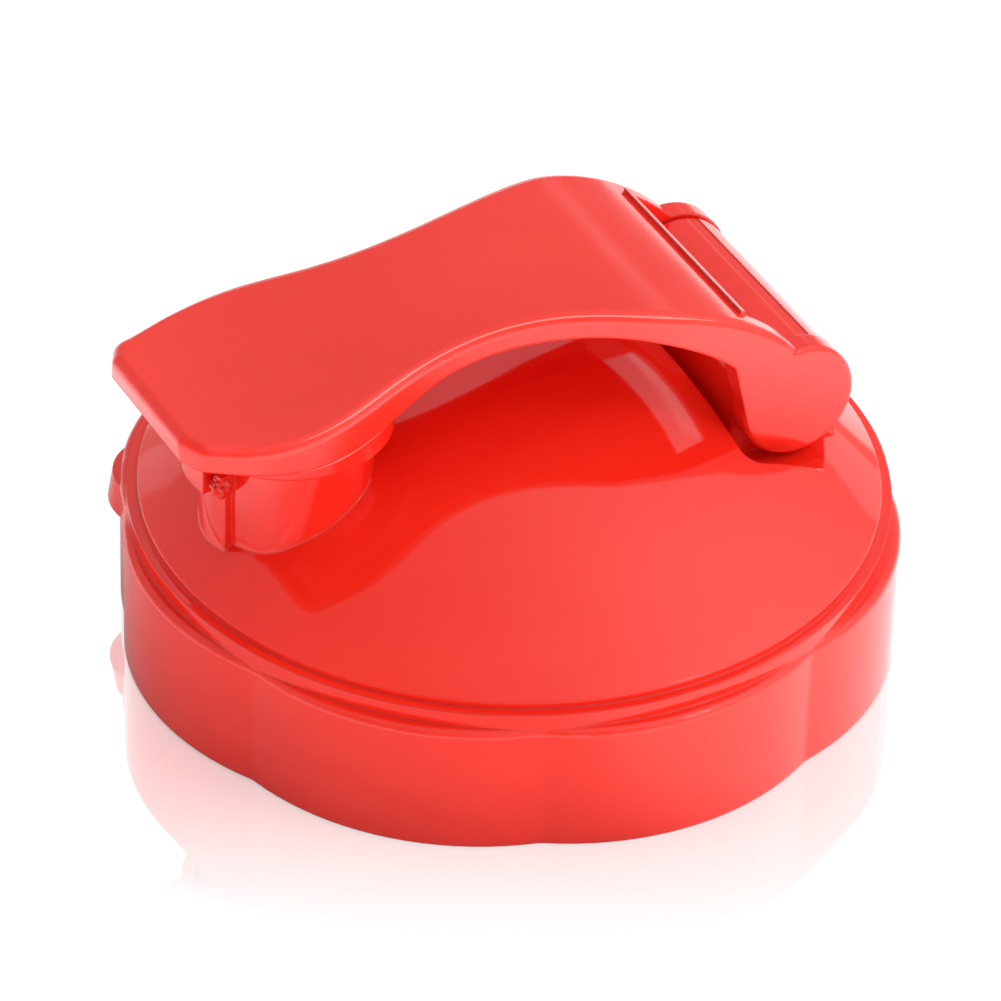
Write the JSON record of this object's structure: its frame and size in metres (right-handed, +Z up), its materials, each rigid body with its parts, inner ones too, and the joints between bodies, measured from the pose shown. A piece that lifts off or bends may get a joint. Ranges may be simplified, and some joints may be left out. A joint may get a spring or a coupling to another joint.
{
  "type": "hinged lid",
  "caption": "Round lobed screw lid with a pour spout, and an arched arm on a rear hinge barrel that flips down and caps the spout.",
  "frame": {"origin": "on the lid's axis, at the plane of its open mouth", "axes": "+Z up through the dome, -Y towards the pour spout, +X along the hinge pins"},
  "size_m": [0.1, 0.1006, 0.0534],
  "materials": {
    "lid": "glossy, moulded",
    "arm": "satin gloss, moulded"
  },
  "bodies": {
    "lid": {"lid_body": "lid"},
    "arm": {"flip_arm": "arm"}
  },
  "joints": [
    {"name": "arm_hinge", "type": "hinge", "parent": "lid", "child": "arm", "pos_m": [0, 0.0308, 0.03412], "axis": [-1, 0, 0], "range_deg": [0, 140]}
  ]
}
